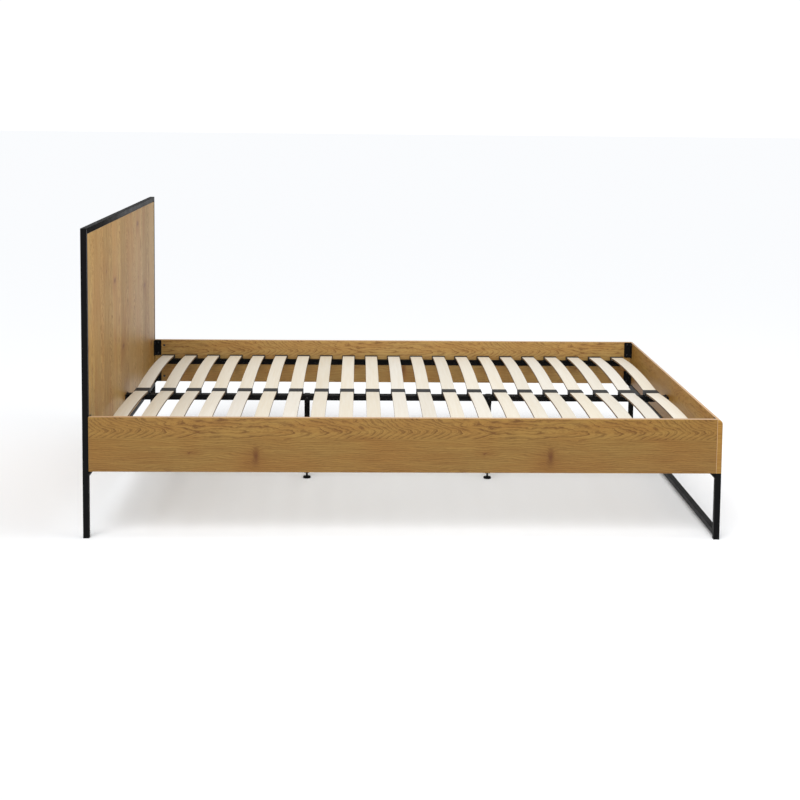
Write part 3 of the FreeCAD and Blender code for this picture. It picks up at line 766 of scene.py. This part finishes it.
def slat_tree():
    """Two rows of bowed slats: a rounded strip swept along an arc, repeated along the bed."""
    tree, given, end = tree_with("sprung_slats", [
        ("Material", "Face", None), ("Material", "Edge", None), ("Int", "Count", 21),
        ("Float", "Pitch", 0.0979), ("Float", "First", -0.979), ("Float", "Width", 0.05),
        ("Float", "Thickness", 0.008), ("Float", "Rounding", 0.0016), ("Float", "Bow", 0.015),
        ("Float", "Inner End", 0.003), ("Float", "Outer End", 0.774),
        ("Float", "End Top", 0.341), ("Int", "Seed", 11)])

    # the bow is an arc: its radius, and the height of the top face over any place across the bed
    bow, inner, outer = given["Bow"], given["Inner End"], given["Outer End"]
    chord = add(tree, MATH, [outer, inner], "SUBTRACT")
    middle = add(tree, MATH, [outer, inner], "ADD")
    middle = add(tree, MATH, [middle, 0.5], "MULTIPLY")
    radius = add(tree, MATH, [chord, chord], "MULTIPLY")
    radius = add(tree, MATH, [radius, bow], "DIVIDE")
    radius = add(tree, MATH, [radius, 8.0], "DIVIDE")
    radius = add(tree, MATH, [bow, 0.5, radius], "MULTIPLY_ADD")
    squared = add(tree, MATH, [radius, radius], "MULTIPLY")
    pivot = add(tree, MATH, [given["End Top"], bow], "ADD")
    pivot = add(tree, MATH, [pivot, radius], "SUBTRACT")
    split = add(tree, SEPARATE, [add(tree, "GeometryNodeInputPosition")])
    out = add(tree, MATH, [split.outputs[1], middle], "SUBTRACT")
    top = add(tree, MATH, [out, out], "MULTIPLY")
    top = add(tree, MATH, [squared, top], "SUBTRACT")
    top = add(tree, MATH, [top], "SQRT")
    top = add(tree, MATH, [top, pivot], "ADD")
    core = add(tree, MATH, [given["Thickness"], -0.5, top], "MULTIPLY_ADD")

    low, high = [add(tree, COMBINE, {1: place}) for place in (inner, outer)]
    line = add(tree, LINE, {"Count": 25, "Start Location": low, "Offset": high},
               mode="END_POINTS", count_mode="TOTAL")
    rise = add(tree, COMBINE, {2: core})
    line = add(tree, "GeometryNodeSetPosition", {"Geometry": line, "Offset": rise})
    spine = add(tree, "GeometryNodeMeshToCurve", [line])
    spine = add(tree, "GeometryNodeSetCurveNormal", [spine], mode="Z_UP")
    section = add(tree, "GeometryNodeCurvePrimitiveQuadrilateral", {
        "Width": given["Width"], "Height": given["Thickness"]}, mode="RECTANGLE")
    section = add(tree, "GeometryNodeFilletCurve", {
        "Curve": section, "Count": 3, "Radius": given["Rounding"]}, mode="POLY")
    strip = add(tree, "GeometryNodeCurveToMesh", {
        "Curve": spine, "Profile Curve": section, "Fill Caps": True})
    # height within the thickness, for the laminated edge
    share = add(tree, MATH, [split.outputs[2], top], "SUBTRACT")
    share = add(tree, MATH, [share, given["Thickness"]], "DIVIDE")
    share = add(tree, MATH, [share, 1.0], "ADD")
    strip = add(tree, STORE, {"Geometry": strip, "Name": "layer", "Value": share},
                data_type="FLOAT", domain="POINT")
    other = add(tree, "GeometryNodeTransform", {"Geometry": strip, "Scale": (1.0, -1.0, 1.0)})
    other = add(tree, "GeometryNodeFlipFaces", [other])

    start = add(tree, COMBINE, [given["First"]])
    step = add(tree, COMBINE, [given["Pitch"]])
    rows = add(tree, LINE, {
        "Count": given["Count"], "Start Location": start, "Offset": step}, mode="OFFSET")
    both = add(tree, "GeometryNodeJoinGeometry")
    for index, half in enumerate((strip, other)):
        seed = add(tree, MATH, [given["Seed"], float(index * 5)], "ADD")
        tone = add(tree, RANDOM, {"Seed": seed}, data_type="FLOAT")
        toned = add(tree, STORE, {"Geometry": rows, "Name": "tone", "Value": tone.outputs[1]},
                    data_type="FLOAT", domain="POINT")
        placed = add(tree, INSTANCES, {"Points": toned, "Instance": half})
        tree.links.new(placed.outputs[0], both.inputs[0])
    real = add(tree, REALIZE, [both])
    faced = add(tree, SET_MATERIAL, {0: real, "Material": given["Face"]})
    side = add(tree, SEPARATE, [add(tree, "GeometryNodeInputNormal")])
    flat = add(tree, MATH, [side.outputs[2]], "ABSOLUTE")
    sawn = add(tree, "FunctionNodeCompare", [flat, 0.5], data_type="FLOAT", operation="LESS_THAN")
    done = add(tree, SET_MATERIAL, [faced, sawn, given["Edge"]])
    tree.links.new(done.outputs[0], end.inputs[0])
    return tree


# ---- operators, one for each piece or group of like pieces ---------------
def seated(name, tree, shape, found, coat, seed):
    """One fastener of that shape on every (point, direction that its head faces)."""
    mesh = bpy.data.meshes.new(name + "_seats")
    mesh.from_pydata([tuple(point) for point, way in found], [], [])
    facing = mesh.attributes.new("facing", "FLOAT_VECTOR", "POINT")
    facing.data.foreach_set("vector", [c for point, way in found for c in way])
    made = grown(name, tree, {"Fastener": shape, "Finish": finish(coat), "Seed": seed}, mesh)
    soften(made.data)
    return made


class BED_OT_boards(bpy.types.Operator):
    """Side rails, footboard and headboard: foil faces with a paler edging strip."""

    bl_idname = "bed.boards"
    bl_label = "Oak Boards"

    def execute(self, context):
        sizes = context.scene.bed_sizes
        nuts = seats("barrel_nuts", 0.0)
        for node, foil, thin, slot in (
                # the near rail gets the foil copy with painted shade, the far rail the one with
                # painted light and the headboard the one with a painted reflection
                ("side_rail_left", "oak_foil_rail_far", 1, "oak_board"),
                ("side_rail_right", "oak_foil_rail", 1, "oak_board"),
                ("footboard_panel", "oak_foil_foot", 0, "oak_board"),
                ("headboard_panel", "oak_foil_head", 0, "oak_headboard")):
            low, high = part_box(node)
            nosed = node == "footboard_panel"
            inner = low.y if high.y > 0 else high.y
            bores = []
            if node.startswith("side_rail"):
                bores = [(Vector((point.x, inner, point.z)), sizes.nut_bore, sizes.nut_depth)
                         for point, way in nuts if point.y * high.y > 0]
            nose, edge = (sizes.nose_round, sizes.nose_edge) if nosed else (0.0, sizes.board_edge)
            made = link(node + "_foil", board_mesh(node, low, high, nose, edge, bores))
            for face in made.data.polygons:
                normal, centre = face.normal, face.center
                if nosed:
                    # the strip goes over the nose and down the inner upright edges
                    upright = min(abs(normal.x), abs(normal.y)) > 0.15
                    banded = normal.z > 0.10 or (upright and centre.x < low.x + 2 * MM)
                else:
                    inside = min(centre[thin] - low[thin], high[thin] - centre[thin]) > 0.2 * MM
                    banded = abs(normal[thin]) < 0.92 and inside
                face.material_index = int(banded)
            settle(made, "frame", [node], [finish(foil), finish("oak_melamine_edging")])
        return {"FINISHED"}


class BED_OT_tubes(bpy.types.Operator):
    """Head frame, foot frame, centre rail and centre legs in powder-coated square tube."""

    bl_idname = "bed.tubes"
    bl_label = "Steel Tubes"

    def execute(self, context):
        for node in ("head_post_left", "head_post_right", "headboard_top_tube",
                     "headboard_lower_tube", "foot_post_left", "foot_post_right", "foot_top_tube",
                     "foot_floor_bar", "centre_rail", "centre_leg_head", "centre_leg_foot",
                     "rail_gussets", "centre_rail_bracket_head", "centre_rail_bracket_foot"):
            coated(node, "_coated", "powder_coated_steel")
        return {"FINISHED"}


class BED_OT_welds(bpy.types.Operator):
    """Small welds where the tubes of the head and foot frames meet."""

    bl_idname = "bed.welds"
    bl_label = "Welds"

    def execute(self, context):
        size = context.scene.bed_sizes.weld_size
        steps = 14
        sink = 0.4 * MM
        bm = bmesh.new()
        joints = []
        for node in ("headboard_lower_tube", "foot_top_tube", "foot_floor_bar"):
            low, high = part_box(node)
            levels = [(low.z, -1)]
            if node == "foot_floor_bar":
                levels.append((high.z, 1))
            joints += [(Vector((low.x + 2 * MM, side * high.y, z)),
                        Vector((high.x - 2 * MM, side * high.y, z)),
                        Vector((0, -side, 0)), Vector((0, 0, up)))
                       for side in (-1, 1) for z, up in levels]
        for start, end, inward, up in joints:
            sections = []
            for index in range(steps + 1):
                t = index / steps
                # the bead swells and narrows along its length and tapers at its ends
                swell = size * (0.72 + 0.28 * abs(math.sin(math.pi * steps * 0.5 * t + 0.4)))
                swell *= 0.55 if index in (0, steps) else 1.0
                base = start.lerp(end, t)
                ring = [base - (inward + up) * sink]
                for turn, bulge in ((0, 1.0), (30, 0.84), (60, 0.84), (90, 1.0)):
                    across, rise = math.cos(math.radians(turn)), math.sin(math.radians(turn))
                    point = base + (inward * across + up * rise) * swell * bulge
                    ring.append(point - (inward * (turn == 90) + up * (turn == 0)) * sink)
                sections.append([bm.verts.new(point) for point in ring])
            for a, b in zip(sections, sections[1:]):
                for i in range(5):
                    bm.faces.new((a[i], a[(i + 1) % 5], b[(i + 1) % 5], b[i]))
            bm.faces.new(sections[0][::-1])
            bm.faces.new(sections[-1])
        made = link("weld_beads", to_mesh("weld_beads", bm))
        settle(made, "frame", (), [finish("powder_coated_steel")])
        return {"FINISHED"}


class BED_OT_plates(bpy.types.Operator):
    """Corner brackets, ledger angles and leg saddles: bent steel plate."""

    bl_idname = "bed.plates"
    bl_label = "Bent Plates"

    def execute(self, context):
        sizes = context.scene.bed_sizes
        thick = sizes.plate
        bend = thick + sizes.plate_bend
        built = []
        for end, face, way in (("head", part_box("side_rail_left")[0].x, 1),
                               ("foot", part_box("footboard_panel")[0].x, -1)):
            for name, side in (("left", 1), ("right", -1)):
                node = f"{end}_corner_brackets_{name}"
                low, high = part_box(node)
                wall = max(abs(low.y), abs(high.y)) * side
                leg = high.x - low.x
                tip, toe = face + way * leg, wall - side * leg
                path = bent_path([(tip, wall), (face, wall), (face, toe)], bend, (tip, toe),
                                 corner=sizes.plate_corner)
                bm = bmesh.new()
                for foot, top in spans(node, 2):
                    bent_plate(bm, path, foot, top, thick, corner=sizes.plate_corner)
                built.append((node, "_bent", bm))
        for name, side in (("left", 1), ("right", -1)):
            node = "ledger_" + name
            low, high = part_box(node)
            wall = max(abs(low.y), abs(high.y))
            shelf = wall - (high.y - low.y)
            path = bent_path([(-low.z, wall), (-high.z, wall), (-high.z, shelf)], bend,
                             (-low.z, shelf))
            bm = bmesh.new()
            bent_plate(bm, path, low.x, high.x, thick)
            lay_along(bm, side)
            built.append((node, "_angle", bm))
        low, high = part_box("leg_saddles")
        path = bent_path([(-low.z, low.y), (-high.z, low.y), (-high.z, high.y), (-low.z, high.y)],
                         sizes.saddle_bend, (-low.z, 0))
        bm = bmesh.new()
        for start, end in spans("leg_saddles", 0):
            bent_plate(bm, path, start, end, sizes.saddle_plate)
        lay_along(bm)
        built.append(("leg_saddles", "_bent", bm))
        for node, ending, bm in built:
            made = link(node + ending, to_mesh(node, bm, merge=0.002 * MM))
            settle(made, "frame", [node], [finish("powder_coated_steel")])
        return {"FINISHED"}


class BED_OT_slats(bpy.types.Operator):
    """Forty-two bowed birch slats, two to a row."""

    bl_idname = "bed.slats"
    bl_label = "Sprung Slats"

    def execute(self, context):
        sizes = context.scene.bed_sizes
        nodes = [f"slat_row_{index:02d}" for index in range(1, sizes.slat_rows + 1)]
        first, last = [sum(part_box(node), Vector()) / 2 for node in (nodes[0], nodes[-1])]
        inner, outer = spans(nodes[0], 1)[-1]
        made = grown("sprung_slats", slat_tree(), {
            "Face": finish("birch_veneer_lacquered"), "Edge": finish("birch_laminate_edge"),
            "Count": sizes.slat_rows, "Pitch": (last.x - first.x) / (sizes.slat_rows - 1),
            "First": first.x, "Width": sizes.slat_width, "Thickness": sizes.slat_thickness,
            "Rounding": sizes.slat_edge, "Bow": sizes.slat_bow, "Inner End": inner,
            "Outer End": outer, "End Top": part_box(nodes[0])[1].z - sizes.slat_bow})
        soften(made.data, 40.0)
        settle(made, "frame", nodes)
        return {"FINISHED"}


class BED_OT_caps(bpy.types.Operator):
    """Rubber caps that hold the slat ends, at both sides and along the centre rail."""

    bl_idname = "bed.caps"
    bl_label = "Slat Caps"

    def execute(self, context):
        rows = context.scene.bed_sizes.slat_rows
        tree = row_tree()
        for node in ("outer_slat_caps_left", "outer_slat_caps_right", "centre_slat_caps"):
            bm = merged(node)
            caps = sorted(islands(bm), key=lambda cap: extent(cap, 0))
            first, last = [sum(extent(cap, 0)) / 2 for cap in (caps[0], caps[-1])]
            kept = set(caps[0])
            bmesh.ops.delete(bm, geom=[v for v in bm.verts if v not in kept], context="VERTS")
            bmesh.ops.translate(bm, verts=bm.verts, vec=(-first, 0, 0))
            shape = link(node + "_shape", to_mesh(node + "_shape", bm))
            made = grown(node + "_moulded", tree, {
                "Shape": shape, "Finish": finish("moulded_rubber"), "Count": rows,
                "Pitch": (last - first) / (rows - 1), "First": first})
            bpy.data.objects.remove(shape)
            soften(made.data)
            settle(made, "frame", [node])
        return {"FINISHED"}


class BED_OT_screws(bpy.types.Operator):
    """Pan-head screws in the brackets, ledgers, centre rail and tubes."""

    bl_idname = "bed.screws"
    bl_label = "Screws"

    def execute(self, context):
        tree = fasteners_tree()
        shape = cross_screw("screw_shape", SCREW_HEAD_RADIUS, SCREW_HEAD)
        for seed, node in enumerate(("bracket_screws", "ledger_screws", "centre_rail_screws",
                                     "panel_screws"), start=7):
            found = [(point, -way) for point, way in seats(node, SCREW_HEAD)]
            made = seated(node + "_cross", tree, shape, found, "black_zinc_steel", seed)
            settle(made, "frame", [node])
        bpy.data.objects.remove(shape)
        return {"FINISHED"}


class BED_OT_plugs(bpy.types.Operator):
    """Push-in plugs, flush in the access holes of the tubes."""

    bl_idname = "bed.plugs"
    bl_label = "Hole Plugs"

    def execute(self, context):
        low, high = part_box("head_post_left")
        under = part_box("foot_top_tube")[0].z
        small = []
        for point, way in seats("panel_screws", SCREW_HEAD):
            if abs(way.z) > 0.5:
                small.append((Vector((point.x, point.y, under)), Vector((0, 0, -1))))
            else:
                side = 1 if point.y > 0 else -1
                small.append((Vector((point.x, side * high.y, point.z)), Vector((0, side, 0))))
        large = [(Vector((low.x, point.y, point.z)), Vector((-1, 0, 0)))
                 for point, way in seats("rail_bolts", 0.0)]
        tree = fasteners_tree()
        for name, found, radius in (("screw_hole_plugs", small, 4.9 * MM),
                                    ("bolt_hole_plugs", large, 6.4 * MM)):
            bm = bmesh.new()
            rim = [(radius - inset * MM, height * MM) for inset, height in PLUG_RIM]
            lathe(bm, [(0, -3 * MM), *rim, (radius / 2, -0.5 * MM), (0, -0.6 * MM)], steps=24)
            shape = link(name + "_shape", to_mesh(name, bm))
            made = seated(name, tree, shape, found, "moulded_polyamide", 5)
            bpy.data.objects.remove(shape)
            settle(made, "frame")
        return {"FINISHED"}


class BED_OT_bolts(bpy.types.Operator):
    """Bolts inside the head posts and the barrel nuts that they pull on."""

    bl_idname = "bed.bolts"
    bl_label = "Bolts And Barrel Nuts"

    def execute(self, context):
        coated("rail_bolts", "_plated", "black_zinc_steel")
        coated("barrel_nuts", "_plated", "zinc_plated_steel")
        return {"FINISHED"}


class BED_OT_feet(bpy.types.Operator):
    """Post glides, leg inserts and the two adjustable feet with their threaded studs."""

    bl_idname = "bed.feet"
    bl_label = "Feet"

    def execute(self, context):
        for node in ("post_glides", "leg_inserts"):
            coated(node, "_moulded", "moulded_polyamide")
        pitch = context.scene.bed_sizes.stud_pitch
        steps, rows = 24, 160
        for end in ("head", "foot"):
            node = "adjuster_foot_" + end
            low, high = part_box(node)
            centre = Vector(((low.x + high.x) / 2, (low.y + high.y) / 2, 0))
            pad = (high.x - low.x) / 2
            bm = bmesh.new()
            rim = [(pad - inset * MM, height * MM) for inset, height in PAD_RIM]
            lathe(bm, [(0, 0), *rim, (6.8 * MM, PAD_TOP), (0, PAD_TOP)], centre, steps=48)
            # the stud: an M8 thread with its crests on a helix and a chamfer at its tip
            base = PAD_TOP - 0.5 * MM
            rings = []
            for row in range(rows + 1):
                z = base + (high.z - base) * row / rows
                ring = []
                for step in range(steps):
                    angle = math.tau * step / steps
                    phase = (z / pitch - step / steps) % 1.0
                    radius = STUD_RADIUS - THREAD_DEPTH * abs(2 * phase - 1)
                    radius -= max(STUD_CHAMFER - (high.z - z), 0.0)
                    spot = Vector((radius * math.cos(angle), radius * math.sin(angle), z))
                    ring.append(bm.verts.new(centre + spot))
                rings.append(ring)
            sides = [(a[step], a[(step + 1) % steps], b[(step + 1) % steps], b[step])
                     for a, b in zip(rings, rings[1:]) for step in range(steps)]
            for corners in (*sides, rings[0][::-1], rings[-1]):
                bm.faces.new(corners).material_index = 1
            made = link(node + "_turned", to_mesh(node, bm))
            settle(made, end + "_adjuster", [node],
                   [finish("moulded_polyamide"), finish("black_zinc_steel")])
        return {"FINISHED"}


class BED_OT_stage(bpy.types.Operator):
    """Pale floor, soft studio light and the camera."""

    bl_idname = "bed.stage"
    bl_label = "Stage"

    def execute(self, context):
        scene = context.scene
        bm = bmesh.new()
        bmesh.ops.create_grid(bm, x_segments=1, y_segments=1, size=60.0)
        floor = link("studio_floor", to_mesh("studio_floor", bm))
        material, tree = fresh("pale_studio_floor")
        # matt white acrylic, lit a little from below
        shader = add(tree, SHADER, {
            "Base Color": (0.915, 0.928, 0.947, 1), "Roughness": 1.0, "Specular IOR Level": 0.0,
            "Emission Color": (1, 1, 1, 1), "Emission Strength": 0.05})
        add(tree, OUTPUT, [shader])
        floor.data.materials.append(material)

        scene.world = bpy.data.worlds.new("studio")
        scene.world.use_nodes = True
        tree = scene.world.node_tree
        tree.nodes.clear()
        # brighter behind the bed than in the light that it gives
        path = add(tree, "ShaderNodeLightPath")
        shown = add(tree, "ShaderNodeMapRange", {
            "Value": path.outputs["Is Camera Ray"], 3: 0.52, 4: 1.05})
        glow = add(tree, "ShaderNodeBackground", [(1, 1, 1, 1), shown])
        add(tree, "ShaderNodeOutputWorld", [glow])

        for name, kind, place, ahead, settings in (
                ("overhead_softbox", "AREA", (0.60, -0.7, 2.6), (-0.15, 0.7, -2.3),
                 {"shape": "RECTANGLE", "size": 2.4, "size_y": 1.0, "energy": 26.0}),
                ("key", "SUN", (0, 0, 0), (0.18, 0.70, -0.72),
                 {"energy": 2.1, "angle": math.radians(50.0)})):
            data = bpy.data.lights.new(name, kind)
            for key, value in settings.items():
                setattr(data, key, value)
            lamp = bpy.data.objects.new(name, data)
            lamp.location = place
            lamp.rotation_euler = Vector(ahead).to_track_quat("-Z", "Y").to_euler()
            scene.collection.objects.link(lamp)

        # a long lens from beside the bed, turned a little towards the foot end and looking down
        yaw, pitch, roll = 0.028, 0.094, 0.0102
        ahead = Vector((math.sin(yaw) * math.cos(pitch), math.cos(yaw) * math.cos(pitch),
                        -math.sin(pitch)))
        right = ahead.cross(Vector((0, 0, 1))).normalized()
        up = right.cross(ahead)
        side = right * math.cos(roll) + up * math.sin(roll)
        lift = up * math.cos(roll) - right * math.sin(roll)
        data = bpy.data.cameras.new("camera")
        data.sensor_width = 36.0
        data.lens = 66.05235
        data.shift_y = -0.2
        data.clip_end = 200.0
        camera = bpy.data.objects.new("camera", data)
        turn = Matrix((side, lift, -ahead)).transposed().to_4x4()
        camera.matrix_world = Matrix.Translation((-0.1543, -5.5665, 1.4501)) @ turn
        scene.collection.objects.link(camera)
        scene.camera = camera
        scene.view_settings.view_transform = "Standard"
        return {"FINISHED"}


class BED_PT_panel(bpy.types.Panel):
    """Lists the pieces of the bed frame."""

    bl_label = "Bed Frame"
    bl_idname = "BED_PT_panel"
    bl_space_type = "VIEW_3D"
    bl_region_type = "UI"
    bl_category = "Bed Frame"

    def draw(self, context):
        for group in (context.scene.bed_sizes, context.scene.bed_colours):
            for name in group.__annotations__:
                self.layout.prop(group, name)
        for made in OPERATORS:
            self.layout.operator(made.bl_idname)


OPERATORS = (BED_OT_stage, BED_OT_boards, BED_OT_tubes, BED_OT_welds, BED_OT_plates, BED_OT_slats,
             BED_OT_caps, BED_OT_screws, BED_OT_plugs, BED_OT_bolts, BED_OT_feet)
CLASSES = (BedSizes, BedColours, *OPERATORS, BED_PT_panel)


def register():
    for made in CLASSES:
        bpy.utils.register_class(made)
    bpy.types.Scene.bed_sizes = PointerProperty(type=BedSizes)
    bpy.types.Scene.bed_colours = PointerProperty(type=BedColours)


def unregister():
    del bpy.types.Scene.bed_colours
    del bpy.types.Scene.bed_sizes
    for made in reversed(CLASSES):
        bpy.utils.unregister_class(made)


def main():
    """Registers the add-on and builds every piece."""
    register()
    for made in OPERATORS:
        group, name = made.bl_idname.split(".")
        getattr(getattr(bpy.ops, group), name)()


if __name__ == "__main__":
    main()
